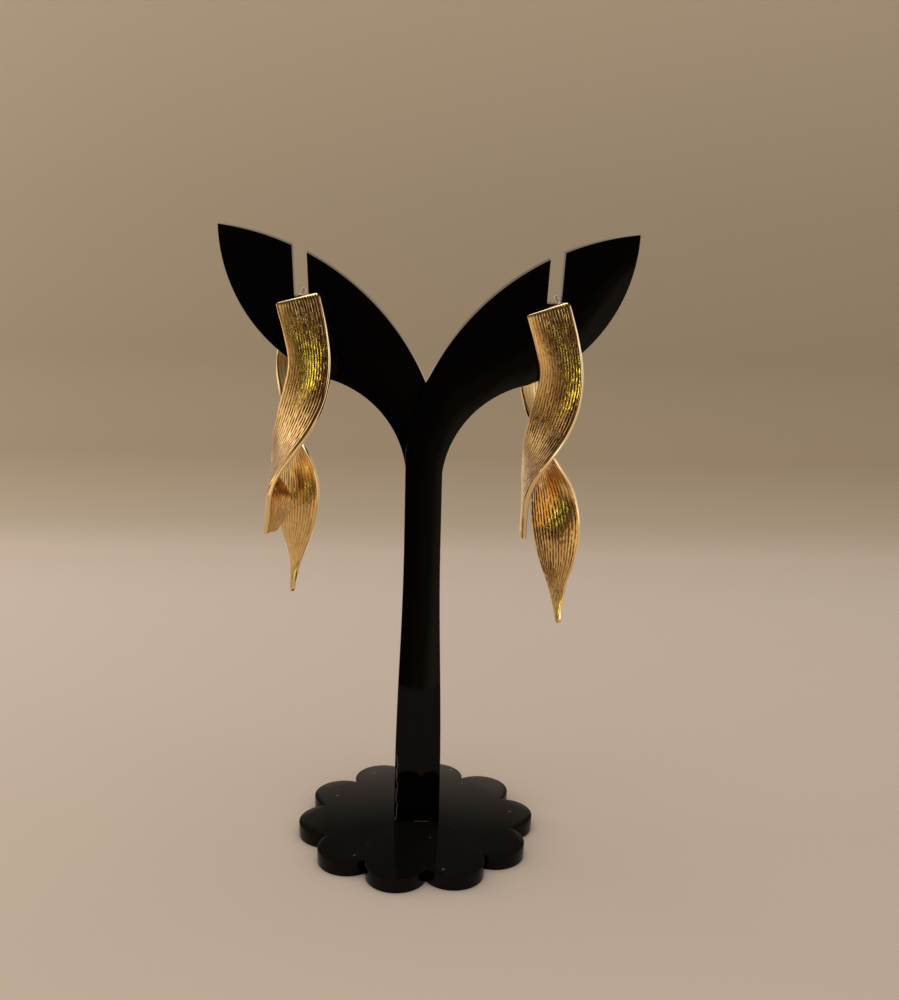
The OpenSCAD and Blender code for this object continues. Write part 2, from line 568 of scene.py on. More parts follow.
def note(mesh: bpy.types.Mesh, name: str, values: np.ndarray, vectors: bool = False) -> None:
    """Writes an attribute on a mesh's points.

    Args:
        mesh: the mesh.
        name: name of the attribute.
        values: a number or a vector for each point.
        vectors: whether they are vectors.
    """
    kind, part = ("FLOAT_VECTOR", "vector") if vectors else ("FLOAT", "value")
    mesh.attributes.new(name, kind, "POINT").data.foreach_set(part, np.ravel(values).astype(float))


def add_nodes(piece: bpy.types.Object, name: str, tree: bpy.types.NodeTree, values: dict) -> None:
    """Puts geometry nodes on a piece, and sets their inputs through the sockets' identifiers.

    Args:
        piece: the object.
        name: name of the modifier.
        tree: the geometry nodes.
        values: the value of each named input.
    """
    modifier = piece.modifiers.new(name, "NODES")
    modifier.node_group = tree
    keys = {item.name: item.identifier for item in tree.interface.items_tree
            if item.item_type == "SOCKET" and item.in_out == "INPUT"}
    for title, value in values.items():
        modifier[keys[title]] = value


def bake_modifiers(piece: bpy.types.Object) -> None:
    """Turns a piece with live modifiers into a plain mesh.

    Args:
        piece: the object with modifiers.
    """
    graph = bpy.context.evaluated_depsgraph_get()
    old = piece.data
    plain_mesh = bpy.data.meshes.new_from_object(piece.evaluated_get(graph), preserve_all_data_layers=True,
                                                 depsgraph=graph)
    piece.modifiers.clear()
    piece.data = plain_mesh
    plain_mesh.name = piece.name
    bpy.data.meshes.remove(old)


def fix_normals(piece: bpy.types.Object) -> None:
    """Turns every face of a closed piece outwards.

    Args:
        piece: the object.
    """
    work = bmesh.new()
    work.from_mesh(piece.data)
    bmesh.ops.recalc_face_normals(work, faces=work.faces)
    work.to_mesh(piece.data)
    work.free()


def shade(piece: bpy.types.Object, angle: float) -> None:
    """Smooths a piece, and keeps edges sharp past an angle.

    Args:
        piece: the object.
        angle: the angle in degrees.
    """
    piece.data.shade_smooth()
    piece.data.set_sharp_from_angle(angle=math.radians(angle))


def dress(piece: bpy.types.Object, material: bpy.types.Material,
          node: str | None = None) -> bpy.types.Object:
    """Gives a piece its material and ties it to the frame.

    Args:
        piece: the object.
        material: its finish.
        node: the node that it stands for, if any.

    Returns:
        The same object.
    """
    piece.data.materials.clear()
    piece.data.materials.append(material)
    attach(piece, BODY)
    if node:
        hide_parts(node)
    LOG.info("%s: %d faces, stands for %s", piece.name, len(piece.data.polygons), node or "nothing")
    return piece


def arc(centre: tuple, radius: float, start: float, end: float, step: float = 0.45) -> list[tuple]:
    """Points along an arc.

    Args:
        centre: its middle.
        radius: its radius.
        start: first angle in degrees.
        end: last angle in degrees.
        step: about how far apart the points are.

    Returns:
        The points, both ends included.
    """
    count = max(2, math.ceil(abs(math.radians(end - start)) * radius / step))
    angles = [math.radians(start + (end - start) * i / count) for i in range(count + 1)]
    return [(centre[0] + radius * math.cos(a), centre[1] + radius * math.sin(a)) for a in angles]


def angle_at(centre: tuple, point: tuple) -> float:
    """Angle of a point about a centre, in degrees."""
    return math.degrees(math.atan2(point[1] - centre[1], point[0] - centre[0]))


def circles_meet(first: tuple, r1: float, second: tuple, r2: float, near: tuple) -> tuple:
    """Point where two circles cross.

    Args:
        first: middle of the first circle.
        r1: its radius.
        second: middle of the second circle.
        r2: its radius.
        near: the crossing nearest this point is taken.

    Returns:
        The crossing.
    """
    dx, dy = second[0] - first[0], second[1] - first[1]
    gap = math.hypot(dx, dy)
    along = (r1 * r1 - r2 * r2 + gap * gap) / (2 * gap)
    aside = math.sqrt(max(r1 * r1 - along * along, 0.0))
    base = (first[0] + along * dx / gap, first[1] + along * dy / gap)
    options = [(base[0] - s * aside * dy / gap, base[1] + s * aside * dx / gap) for s in (-1, 1)]
    return min(options, key=lambda p: math.dist(p, near))


def join_rings(count: int, n: int, start: int = 0) -> list[tuple]:
    """Faces between closed rings of points that follow each other.

    Args:
        count: how many rings.
        n: points in each ring.
        start: number of the first point.

    Returns:
        The faces.
    """
    return [(a + i, a + (i + 1) % n, a + n + (i + 1) % n, a + n + i)
            for a in range(start, start + (count - 1) * n, n) for i in range(n)]


def turned_shape(profile: Sequence[tuple], sides: int, place: Matrix) -> tuple[list, list]:
    """Points and faces of a turned shape, closed at both ends.

    Args:
        profile: radius and height of each ring; a radius of 0 is a pole.
        sides: faces round the axis.
        place: puts the shape in the object's space.

    Returns:
        Points and faces.
    """
    points: list[Vector] = []
    rings = []
    for radius, height in profile:
        count = sides if radius else 1
        rings.append([len(points) + i % count for i in range(sides)])
        for a in (2 * math.pi * i / sides for i in range(count)):
            points.append(place @ Vector((radius * math.cos(a), radius * math.sin(a), height)))
    faces = []
    for low, high in zip(rings, rings[1:]):
        for i in range(sides):
            j = (i + 1) % sides
            faces.append(tuple(dict.fromkeys((low[i], low[j], high[j], high[i]))))
    return points, faces


# Stand


@dataclass
class FootCement:
    """Dried cement at the stem's foot: a thin wavy line up its left edge, a smear along its front.

    Each wave has its size, its pace up the stem and its start. The half width of a bead varies
    from a thinnest share, and its two ends are narrower still.
    """

    finish: bpy.types.Material
    floor: float
    foot_half: float
    front_y: float
    proud: float = 0.02
    inset: float = 0.45
    line_start: float = 0.1
    line_top: float = 17.5
    line_steps: int = 40
    line_half: float = 0.11
    waves: tuple = ((0.11, 1.3, 0.0), (0.08, 2.9, 1.0))
    smear_rise: float = 0.03
    smear_run: tuple = (-0.6, 2.6)
    smear_steps: int = 12
    smear_half: float = 0.09
    thinnest: float = 0.55
    variation: float = 0.9
    end_shares: tuple = (0.4, 0.3)
    flatness: float = 0.4
    sides: int = 8
    crease: float = 60.0
    seed: int = 7

    def bead(self, path: Sequence[tuple], half: np.ndarray) -> list[Vector]:
        """Rings of points along one bead, which lies flat against the sheet.

        Args:
            path: points along its middle.
            half: half width at each of them.

        Returns:
            The rings' points.
        """
        along = Vector(path[-1]) - Vector(path[0])
        across = along.cross(Vector((0, 1, 0))).normalized()
        points = []
        for spot, r in zip(path, half):
            for a in (2 * math.pi * i / self.sides for i in range(self.sides)):
                out = Vector((0, self.flatness * r * math.sin(a), 0))
                points.append(Vector(spot) + across * r * math.cos(a) + out)
        return points

    def build(self) -> bpy.types.Object:
        """Runs both beads of cement.

        Returns:
            The dressed cement.
        """
        rng = np.random.default_rng(self.seed)
        front = self.front_y - self.proud
        heights = np.linspace(self.floor + self.line_start, self.line_top, self.line_steps)
        wave = sum(size * np.sin(heights * pace + start) for size, pace, start in self.waves)
        line = [(-self.foot_half + self.inset + w, front, z) for w, z in zip(wave, heights)]
        smear = [(x, front, self.floor + self.smear_rise)
                 for x in np.linspace(*self.smear_run, self.smear_steps)]
        points, faces = [], []
        for path, half in ((line, self.line_half), (smear, self.smear_half)):
            thick = half * (self.thinnest + self.variation * rng.random(len(path)))
            thick[[0, -1]] *= self.end_shares
            first = len(points)
            points += self.bead(path, thick)
            faces += join_rings(len(path), self.sides, first)
            faces.append(tuple(range(first, first + self.sides))[::-1])
            faces.append(tuple(range(len(points) - self.sides, len(points))))
        piece = new_piece("foot_cement", points, faces)
        fix_normals(piece)
        shade(piece, self.crease)
        return dress(piece, self.finish)


@dataclass
class Stand:
    """The black stand: a scalloped base and two uprights, back to back.

    The edges of an arm are circles: crest above, armpit below the arm and belly below its leaf.
    Leaf and tip are roughly where the belly starts and ends. All are given for the right arm.
    """

    finish: bpy.types.Material
    glue: bpy.types.Material
    base_tree: bpy.types.NodeTree
    sheet: float = 3.0
    eased: float = 0.14
    eased_steps: int = 3
    eased_corner: float = 60.0
    crease: float = 28.0
    miter_floor: float = 0.35
    lobes: int = 10
    lobe_ring: float = 17.65
    lobe_r: float = 5.95
    base_turn: float = 12.45
    neck_half: float = 3.45
    foot_half: float = 4.5
    taper_top: float = 62.0
    taper_foot: float = 12.0
    taper_steps: int = 26
    seam_y: float = 1.0
    crest: tuple = (42.9, 73.2)
    crest_r: float = 46.75
    belly: tuple = (8.05, 119.9)
    belly_r: float = 29.65
    armpit: tuple = (23.1, 72.9)
    armpit_r: float = 19.8
    leaf: tuple = (17.5, 91.8)
    tip: tuple = (38.0, 119.6)
    slot_x: float = 22.85
    slot_z: float = 107.1
    slot_w: float = 2.6
    slot_lean: float = 2.4

    def stem_edge(self) -> list[tuple]:
        """Right edge of the stem.

        Returns:
            Its points, from the foot to the armpit.
        """
        heights = np.linspace(self.taper_foot, self.taper_top, self.taper_steps)
        share = (self.taper_top - heights) / (self.taper_top - self.taper_foot)
        half = self.neck_half + (self.foot_half - self.neck_half) * (1 - np.cos(np.pi * share)) / 2
        return [(self.foot_half, self.sheet)] + list(zip(half.tolist(), heights.tolist()))

    def on_crest(self, corner: tuple) -> tuple:
        """Where a slot wall that starts at a floor corner runs out through the upper edge.

        Args:
            corner: the floor's corner.

        Returns:
            The point on the upper edge.
        """
        lean = math.radians(self.slot_lean)
        way = Vector((math.sin(lean), math.cos(lean)))
        start = Vector(corner) - Vector(self.crest)
        b = start.dot(way)
        run = -b + math.sqrt(b * b - start.length_squared + self.crest_r ** 2)
        return tuple(Vector(corner) + way * run)

    def outline(self) -> list[tuple]:
        """Outline of an upright with its arm towards +X.

        Returns:
            Its corners, counter-clockwise.
        """
        edge = self.stem_edge()
        pit = math.degrees(math.acos((self.neck_half - self.armpit[0]) / self.armpit_r))
        leaf = circles_meet(self.armpit, self.armpit_r, self.belly, self.belly_r, self.leaf)
        tip = circles_meet(self.belly, self.belly_r, self.crest, self.crest_r, self.tip)
        points = list(edge)
        points += arc(self.armpit, self.armpit_r, pit, angle_at(self.armpit, leaf))[:-1]
        points += arc(self.belly, self.belly_r, angle_at(self.belly, leaf), angle_at(self.belly, tip))[:-1]
        lean = math.radians(self.slot_lean)
        half = Vector((math.cos(lean), -math.sin(lean))) * self.slot_w / 2
        floor = Vector((self.slot_x, self.slot_z))
        outer, inner = tuple(floor + half), tuple(floor - half)
        out_top, in_top = self.on_crest(outer), self.on_crest(inner)
        points += arc(self.crest, self.crest_r, angle_at(self.crest, tip), angle_at(self.crest, out_top))
        points += [outer, inner]
        side = math.degrees(math.acos((-self.neck_half - self.crest[0]) / self.crest_r))
        points += arc(self.crest, self.crest_r, angle_at(self.crest, in_top), side)
        points += [(-x, z) for x, z in reversed(edge)]
        return points

    def cut_sheet(self, name: str, outline: Sequence[tuple],
                  place: Callable[[np.ndarray], np.ndarray]) -> bpy.types.Object:
        """Cuts a flat sheet to an outline, with softly rounded edges.

        Args:
            name: name of the piece.
            outline: corners of the outline, counter-clockwise, in its own plane.
            place: turns plane and depth coordinates into the object's space.

        Returns:
            The closed sheet.
        """
        flat = np.array(outline, float)
        ahead = np.roll(flat, -1, 0) - flat
        ahead /= np.linalg.norm(ahead, axis=1)[:, None]
        normal = np.stack([ahead[:, 1], -ahead[:, 0]], 1)
        miter = normal + np.roll(normal, 1, 0)
        miter /= np.maximum((miter * normal).sum(1), self.miter_floor)[:, None]
        turns = [math.pi / 2 * k / self.eased_steps for k in range(self.eased_steps + 1)]
        rings = [(self.eased * (1 - math.sin(a)), self.eased * (1 - math.cos(a))) for a in turns]
        levels = rings + [(inset, self.sheet - depth) for inset, depth in reversed(rings)]
        points = [np.column_stack([flat - miter * inset, np.full(len(flat), depth)])
                  for inset, depth in levels]
        n, last = len(flat), (len(levels) - 1) * len(flat)
        faces = [tuple(range(n))[::-1], tuple(range(last, last + n))] + join_rings(len(levels), n)
        piece = new_piece(name, place(np.concatenate(points)), faces)
        shade(piece, self.crease)
        return piece

    def build_upright(self, side: Side, back_y: float, node: str) -> bpy.types.Object:
        """Cuts one upright and stands it on the base.

        Args:
            side: where its arm points.
            back_y: place of its back face.
            node: the node that it replaces.

        Returns:
            The dressed sheet.
        """
        outline = self.outline()
        if side is Side.LEFT:
            outline = [(-x, z) for x, z in reversed(outline)]

        def stand_up(p: np.ndarray) -> np.ndarray:
            """Plane to space: depth runs from the back face towards the viewer."""
            return np.column_stack([p[:, 0], back_y - p[:, 2], p[:, 1]])

        piece = self.cut_sheet(f"{node}_sheet", outline, stand_up)
        return dress(piece, self.finish, node)

    def build_base(self) -> bpy.types.Object:
        """Grows the scalloped base from its rule and eases its edges.

        Returns:
            The dressed base.
        """
        piece = new_piece("base_plate_sheet", np.zeros((1, 3)), [])
        add_nodes(piece, "scallops", self.base_tree, {
            "Lobes": self.lobes, "Ring": self.lobe_ring * MM, "Lobe Radius": self.lobe_r * MM,
            "Thickness": self.sheet * MM, "Material": self.finish,
            "Turn": math.radians(180 - self.base_turn - 180 / self.lobes)})
        ease = piece.modifiers.new("eased_edge", "BEVEL")
        ease.width = self.eased * MM
        ease.segments = self.eased_steps
        ease.limit_method = "ANGLE"
        ease.angle_limit = math.radians(self.eased_corner)
        ease.use_clamp_overlap = False
        bake_modifiers(piece)
        shade(piece, self.crease)
        return dress(piece, self.finish, "base_plate")

    def build(self) -> list[bpy.types.Object]:
        """Builds the whole stand.

        Returns:
            The base, both uprights and the cement.
        """
        return [
            self.build_base(),
            self.build_upright(Side.RIGHT, self.seam_y, "front_upright"),
            self.build_upright(Side.LEFT, self.seam_y + self.sheet, "rear_upright"),
            FootCement(self.glue, self.sheet, self.foot_half, self.seam_y - self.sheet).build(),
        ]


def scallop_tree() -> bpy.types.NodeTree:
    """Geometry nodes that grow a plate whose edge is a ring of round lobes.

    Returns:
        The node group.
    """
    per_lobe, weld = 32.0, 0.000002
    make, given = new_geometry_group("scalloped_plate", [
        ("Lobes", "Int", 10), ("Ring", "Float", 0.018), ("Lobe Radius", "Float", 0.006),
        ("Thickness", "Float", 0.003), ("Turn", "Float", 0.0)])
    count = make.times(given["Lobes"], per_lobe)
    ring = make.node("GeometryNodeCurvePrimitiveCircle", {"Resolution": count, "Radius": 1.0})
    number = make.node("GeometryNodeInputIndex").outputs[0]
    slice_ = make.math("DIVIDE", 2 * math.pi, given["Lobes"])
    # Within one lobe the points are even in the lobe's own angle, so that the cusps stay crisp.
    within = make.math("DIVIDE", make.math("MODULO", number, per_lobe), per_lobe)
    lobe = make.math("FLOOR", make.math("DIVIDE", number, per_lobe))
    half = make.math("DIVIDE", slice_, 2.0)
    away = make.math("DIVIDE", make.times(given["Ring"], make.math("SINE", half)), given["Lobe Radius"])
    reach = make.math("ADD", half, make.math("ARCSINE", away))
    spin = make.times(make.math("MULTIPLY_ADD", within, 2.0, -1.0), reach)
    x = make.math("MULTIPLY_ADD", make.math("COSINE", spin), given["Lobe Radius"], given["Ring"])
    y = make.times(make.math("SINE", spin), given["Lobe Radius"])
    turn = make.math("MULTIPLY_ADD", lobe, slice_, given["Turn"])
    turned = make.node("ShaderNodeVectorRotate", {"Vector": make.vector(x, y), "Angle": turn},
                       rotation_type="Z_AXIS")
    shaped = make.node("GeometryNodeSetPosition", {"Geometry": ring.outputs[0],
                                                   "Position": turned.outputs[0]})
    filled = make.node("GeometryNodeFillCurve", {0: shaped.outputs[0]})
    filled.mode = "NGONS"
    raised = make.node("GeometryNodeExtrudeMesh", {
        "Mesh": filled.outputs[0], "Offset Scale": given["Thickness"], "Individual": False}, mode="FACES")
    under = make.node("GeometryNodeFlipFaces", {0: filled.outputs[0]})
    both = make.node("GeometryNodeJoinGeometry", {0: raised.outputs[0]})
    make.put(both.inputs[0], under.outputs[0])
    merged = make.node("GeometryNodeMergeByDistance", {"Geometry": both.outputs[0], "Distance": weld})
    return end_geometry_group(make, merged.outputs[0], given["Material"])


# Earrings


@dataclass(frozen=True)
class BladeShape:
    """A curved strip that twists as it falls: rows of drop, out, back, width, turn, curl and slope.

    Relief gives the strength of the ridges at a share of the way down: at the left edge, in the
    middle and at the right edge. The ridges fade in over a short run from each end.
    """

    rows: tuple
    relief: tuple
    thick: float = 0.9
    ridges: int = 15
    ridge_height: float = 0.09
    wander: float = 0.26
    wobble: float = 0.07
    lumps: float = 1.1
    border: float = 0.26
    corner: float = 0.8
    left_corner: float = 0.8
    corner_share: float = 0.45
    least_half: float = 0.05
    least_curl: float = 2.0
    round_over: float = 0.22
    fade_start: float = 0.15
    fade_run: float = 0.35
    around: int = 3
    per_ridge: int = 8
    end_steps: int = 4
    down_step: float = 0.30
    fine_steps: int = 600
    down_unit: float = 10.0
    crease: float = 75.0

    def value(self, column: Column, t: np.ndarray) -> np.ndarray:
        """One column on a smooth curve through the rows.

        Args:
            column: which column.
            t: places from 0 (top) to 1 (tip).

        Returns:
            The column's values.
        """
        table = np.array(self.rows, float)[:, column.value]
        ends = np.concatenate([[2 * table[0] - table[1]], table, [2 * table[-1] - table[-2]]])
        x = np.asarray(t) * (len(table) - 1)
        i = np.clip(np.floor(x).astype(int), 0, len(table) - 2)
        f = x - i
        a, b, c, d = (ends[i + k] for k in range(4))
        return (2 * b + (c - a) * f + (2 * a - 5 * b + 4 * c - d) * f ** 2
                + (3 * b - a - 3 * c + d) * f ** 3) / 2

    def points(self, t: np.ndarray, s: np.ndarray, lift: np.ndarray) -> np.ndarray:
        """Points of the strip in its own place.

        Args:
            t: places down the strip, 0 to 1.
            s: places across it, -0.5 to 0.5.
            lift: distance along the outer face's normal.

        Returns:
            Points with X out, Y back and Z up.
        """
        curl = self.value(Column.CURL, t)
        least = np.where(curl < 0, -self.least_curl, self.least_curl)
        curl = np.where(np.abs(curl) < self.least_curl, least, curl)
        radius = np.degrees(self.value(Column.WIDTH, t)) / curl
        bend = np.radians(s * curl)
        across = (radius + lift) * np.sin(bend)
        bulge = (radius + lift) * np.cos(bend) - radius * np.cos(np.radians(curl / 2))
        turn, slope = np.radians(self.value(Column.TURN, t)), np.radians(self.value(Column.SLOPE, t))
        return np.stack([
            self.value(Column.OUT, t) + across * np.cos(turn) * np.cos(slope) - bulge * np.sin(turn),
            self.value(Column.BACK, t) - across * np.sin(turn) * np.cos(slope) - bulge * np.cos(turn),
            self.value(Column.DROP, t) + across * np.sin(slope)], -1)

    def run(self) -> tuple[np.ndarray, np.ndarray]:
        """Places down the strip, and their distances from the top along its middle.

        Returns:
            Places from 0 to 1 and lengths in millimetres.
        """
        fine = np.linspace(0, 1, self.fine_steps)
        middle = np.stack([self.value(c, fine) for c in (Column.OUT, Column.BACK, Column.DROP)], 1)
        length = np.concatenate([[0], np.cumsum(np.linalg.norm(np.diff(middle, axis=0), axis=1))])
        ease = self.round_over * (1 - np.cos(np.linspace(0, math.pi / 2, self.end_steps)))
        near = np.concatenate([ease[:-1], np.linspace(ease[-1], self.corner, self.end_steps)])
        count = math.ceil((length[-1] - 2 * self.corner) / self.down_step)
        middle_run = np.linspace(self.corner, length[-1] - self.corner, count + 1)[1:-1]
        spots = np.concatenate([near, middle_run, (length[-1] - near)[::-1]])
        return np.interp(spots, length, fine), spots

    def inner_half(self, end: np.ndarray, width: np.ndarray, corner: float) -> np.ndarray:
        """Half width of the ribbed face on one side, drawn in at the rounded corners.

        Args:
            end: distance from the nearer end.
            width: full width of the strip.
            corner: radius of the corner.

        Returns:
            The half widths.
        """
        radius = np.minimum(corner, width * self.corner_share)
        gap = np.clip(radius - end, 0, None)
        half = width / 2 - radius + np.sqrt(np.clip(radius ** 2 - gap ** 2, 0, None))
        return np.clip(half - self.border, self.least_half, None)

    def strength(self, t: np.ndarray, share: np.ndarray) -> np.ndarray:
        """Strength of the ridges over the whole face.

        Args:
            t: places down the strip, 0 to 1.
            share: places across it, -0.5 to 0.5.

        Returns:
            A value for each place down and across.
        """
        table = np.array(self.relief, float)
        left, middle, right = (np.interp(t, table[:, 0], table[:, k])[:, None] for k in (1, 2, 3))
        aside = np.clip(np.abs(share[None, :]) * 2, 0, 1)
        aside = aside * aside * (3 - 2 * aside)
        return middle + (np.where(share[None, :] < 0, left, right) - middle) * aside

    def section(self) -> tuple[np.ndarray, np.ndarray, np.ndarray]:
        """One closed section: across the outer face, round the edge, back and round again.

        Returns:
            For each point: its share across the ribbed face, its distance past that face's end
            (signed), and its lift as a share of the half thickness.
        """
        n = self.ridges * self.per_ridge + 1
        face = np.linspace(-0.5, 0.5, n)
        turns = np.linspace(0, math.pi / 2, self.around + 2)[1:]
        side = [(self.border * math.sin(a), 1 - 0.5 * (1 - math.cos(a))) for a in turns]
        edge = np.array(side + [(self.border, 0.0)] + [(d, -h) for d, h in reversed(side)])
        past, lift = edge[:, 0], edge[:, 1]
        share = np.concatenate([face, np.full(len(edge), 0.5), face[::-1], np.full(len(edge), -0.5)])
        return (share, np.concatenate([np.zeros(n), past, np.zeros(n), -past]),
                np.concatenate([np.ones(n), lift, -np.ones(n), -lift]))

    def surface(self) -> tuple[np.ndarray, dict[str, np.ndarray]]:
        """Every point of the strip, in rows down it, and what its ridges and its finish read there.

        Returns:
            The rows of points, and four numbers for each point: its share across, its distance
            down in centimetres, whether it is on the ribbed face, and the strength of the ridges.
        """
        t, spots = self.run()
        share, past, lift = self.section()
        width = self.value(Column.WIDTH, t)
        end = np.minimum(spots, spots[-1] - spots)
        right = self.inner_half(end, width, self.corner)
        top = spots < spots[-1] / 2
        left = np.where(top, self.inner_half(end, width, self.left_corner), right)
        close = np.clip(self.round_over - end, 0, None)
        rounded = np.sqrt(np.clip(self.round_over ** 2 - close ** 2, 0, None))
        thin = self.thick / 2 - self.round_over + rounded
        half = np.where(share[None, :] < 0, left[:, None], right[:, None])
        s = (share[None, :] * 2 * half + past[None, :]) / width[:, None]
        rows = self.points(np.repeat(t[:, None], len(share), 1), s, lift[None, :] * thin[:, None])
        fade = np.clip((end - self.fade_start) / self.fade_run, 0, 1)[:, None]
        on_face = (past == 0)[None, :] & (np.abs(share) < 0.5)[None, :]
        return rows, {
            "across": np.repeat((share + 0.5)[None, :], len(t), 0),
            "down": np.repeat(spots[:, None], len(share), 1) / self.down_unit,
            "ribbed": on_face * fade,
            "relief": self.strength(t, share),
        }


@dataclass(frozen=True)
class Hang:
    """Where the top of a blade hangs, and its turns about X, Y and Z in degrees."""

    top: tuple
    turns: tuple

    def turn(self, ways: np.ndarray) -> np.ndarray:
        """Directions of the blade as it hangs."""
        return ways @ np.array(Euler([math.radians(a) for a in self.turns], "XYZ").to_matrix()).T

    def place(self, points: np.ndarray) -> np.ndarray:
        """Points of the blade as it hangs."""
        return self.turn(points) + np.array(self.top)


@dataclass
class RibbonBlade:
    """One ribbed blade, made from its shape and given its ridges by geometry nodes."""

    shape: BladeShape
    hang: Hang
    ridges: bpy.types.NodeTree

    def faces(self, count: int, n: int) -> list[tuple]:
        """Faces between the rows of points, and one over each end.

        Args:
            count: how many rows.
            n: points in each row.

        Returns:
            The faces.
        """
        faces = [(a + k, a + n + k, a + n + (k + 1) % n, a + (k + 1) % n)
                 for a in range(0, (count - 1) * n, n) for k in range(n)]
        first = [(k - self.shape.around - 1) % n for k in range(n)]
        return faces + [tuple(first), tuple((count - 1) * n + k for k in reversed(first))]

    def build(self, name: str, gold: bpy.types.Material, node: str, seed: int) -> bpy.types.Object:
        """Makes the blade and ties it to its earring.

        Args:
            name: name of the piece.
            gold: the gold finish.
            node: the node that it stands for.
            seed: seed of the ridges' wander.

        Returns:
            The finished blade.
        """
        shape = self.shape
        rows, facts = shape.surface()
        count, n, _ = rows.shape
        piece = new_piece(name, self.hang.place(rows.reshape(-1, 3)), self.faces(count, n))
        fix_normals(piece)
        sideways = self.hang.turn(rows[:, 1] - rows[:, 0])
        sideways /= np.linalg.norm(sideways, axis=1)[:, None]
        for key, values in facts.items():
            note(piece.data, key, values)
        note(piece.data, "sideways", np.repeat(sideways[:, None, :], n, 1), vectors=True)
        add_nodes(piece, "ridges", self.ridges, {
            "Ridges": shape.ridges, "Ridge Height": shape.ridge_height * MM, "Wander": shape.wander * MM,
            "Wobble": shape.wobble * MM, "Lumps": shape.lumps, "Seed": float(seed), "Material": gold})
        bake_modifiers(piece)
        shade(piece, shape.crease)
        return dress(piece, gold, node)


def ridge_tree() -> bpy.types.NodeTree:
    """Geometry nodes that raise rounded ridges along a blade.

    The mesh carries across, down, ribbed, relief and sideways. Ridges wander and wobble as they
    run down, and each groove is deeper in some places than in others, like bark.

    Returns:
        The node group.
    """
    drawn_out, sharpness = 2.2, 2.6
    wander_scale, wobble_scale, depth_scale, lump_scale = 1.6, 6.5, 8.0, 11.0
    uneven, depths = (0.35, 0.63), (0.12, 1.40)
    make, given = new_geometry_group("rounded_ridges", [
        ("Ridges", "Int", 14), ("Ridge Height", "Float", 0.0002), ("Wander", "Float", 0.0001),
        ("Wobble", "Float", 0.00005), ("Lumps", "Float", 0.5), ("Seed", "Float", 0.0)])

    def read(name: str, kind: str = "FLOAT") -> bpy.types.NodeSocket:
        """Reads an attribute of the mesh."""
        return make.node("GeometryNodeInputNamedAttribute", {0: name}, data_type=kind).outputs[0]

    def move(mesh: bpy.types.NodeSocket, way: object, distance: object) -> bpy.types.NodeSocket:
        """Moves each point some distance in a direction."""
        inputs = {"Geometry": mesh, "Offset": make.scaled(way, distance)}
        return make.node("GeometryNodeSetPosition", inputs).outputs[0]

    across, down, ribbed, relief = (read(name) for name in ("across", "down", "ribbed", "relief"))
    spot = make.vector(make.times(across, drawn_out), down, given["Seed"])

    def swing(scale: float, detail: float) -> bpy.types.NodeSocket:
        """Noise about zero, read along the face."""
        return make.math("MULTIPLY_ADD", make.noise(spot, scale, detail), 2.0, -1.0)

    held = make.times(make.math("SINE", make.times(across, math.pi)), ribbed)
    slow = make.times(swing(wander_scale, detail=2.0), given["Wander"])
    quick = make.times(swing(wobble_scale, detail=1.0), given["Wobble"])
    shift = make.times(make.math("ADD", slow, quick), held)
    moved = move(given["Geometry"], read("sideways", "FLOAT_VECTOR"), shift)
    phase = make.math("FRACT", make.times(across, given["Ridges"]))
    centred = make.math("ABSOLUTE", make.math("MULTIPLY_ADD", phase, 2.0, -1.0))
    deep = make.spread(make.noise(spot, depth_scale, detail=3.0), *uneven, *depths)
    ridge = make.math("SUBTRACT", 1.0, make.times(make.math("POWER", centred, sharpness), deep))
    lumpy = make.math("MULTIPLY_ADD", make.noise(spot, lump_scale), given["Lumps"], ridge)
    height = make.times(lumpy, make.times(make.times(ribbed, relief), given["Ridge Height"]))
    raised = move(moved, make.node("GeometryNodeInputNormal").outputs[0], height)
    noted = make.node("GeometryNodeStoreNamedAttribute",
                      {"Geometry": raised, "Name": "ridge", "Value": ridge},
                      data_type="FLOAT", domain="POINT")
    return end_geometry_group(make, noted.outputs[0], given["Material"])


# Each row is one section, from the top down: drop, out, back, width, turn, curl and slope.
FRONT_START = (
    (0.3, -0.1, 0.0, 8.0, -4, 3, 24),
    (-5.6, 2.4, -0.2, 8.0, 14, 13, 16),
    (-11.1, 4.1, 0.0, 8.4, 30, 16, 10),
    (-16.7, 4.2, 0.7, 9.7, 42, 10, 5),
    (-22.2, 3.3, 1.4, 10.9, 57, 3, 3),
)

FRONT_ROWS = {
    Side.LEFT: FRONT_START + (
        (-27.8, 2.1, 2.5, 12.0, 77, 4, 2),
        (-33.4, 1.5, 3.2, 11.1, 95, 17, 1),
        (-38.9, 3.3, 3.2, 8.9, 123, 38, 0),
        (-44.5, 2.5, 3.8, 4.2, 120, 55, -1),
    ),
    Side.RIGHT: FRONT_START + (
        (-27.8, 1.7, 1.4, 12.0, 79, 4, 2),
        (-33.4, 1.2, 3.0, 11.0, 91, 7, 1),
        (-38.9, 1.8, 3.9, 8.4, 97, 17, 0),
        (-44.5, 2.5, 5.3, 4.3, 96, 39, -1),
    ),
}

BACK_ROWS = (
    (-2.5, -0.1, 0.5, 9.0, -1, -26, 2),
    (-7.7, -0.4, 0.9, 9.3, -1, -28, 2),
    (-14.3, -0.7, 1.6, 9.9, -8, -30, 3),
    (-21.0, -0.1, 1.1, 10.4, -43, -36, 2),
    (-27.7, -0.8, 0.5, 10.9, -96, -45, 0),
    (-34.3, -0.5, 0.6, 10.6, -134, -55, -1),
    (-41.0, -0.4, 0.1, 9.9, -152, -58, -2),
    (-47.7, -0.5, 0.9, 7.8, -149, -54, -2),
    (-54.3, -0.6, 2.2, 4.5, -123, -46, -2),
    (-61.0, -0.9, 0.9, 1.5, -89, -37, -3),
)

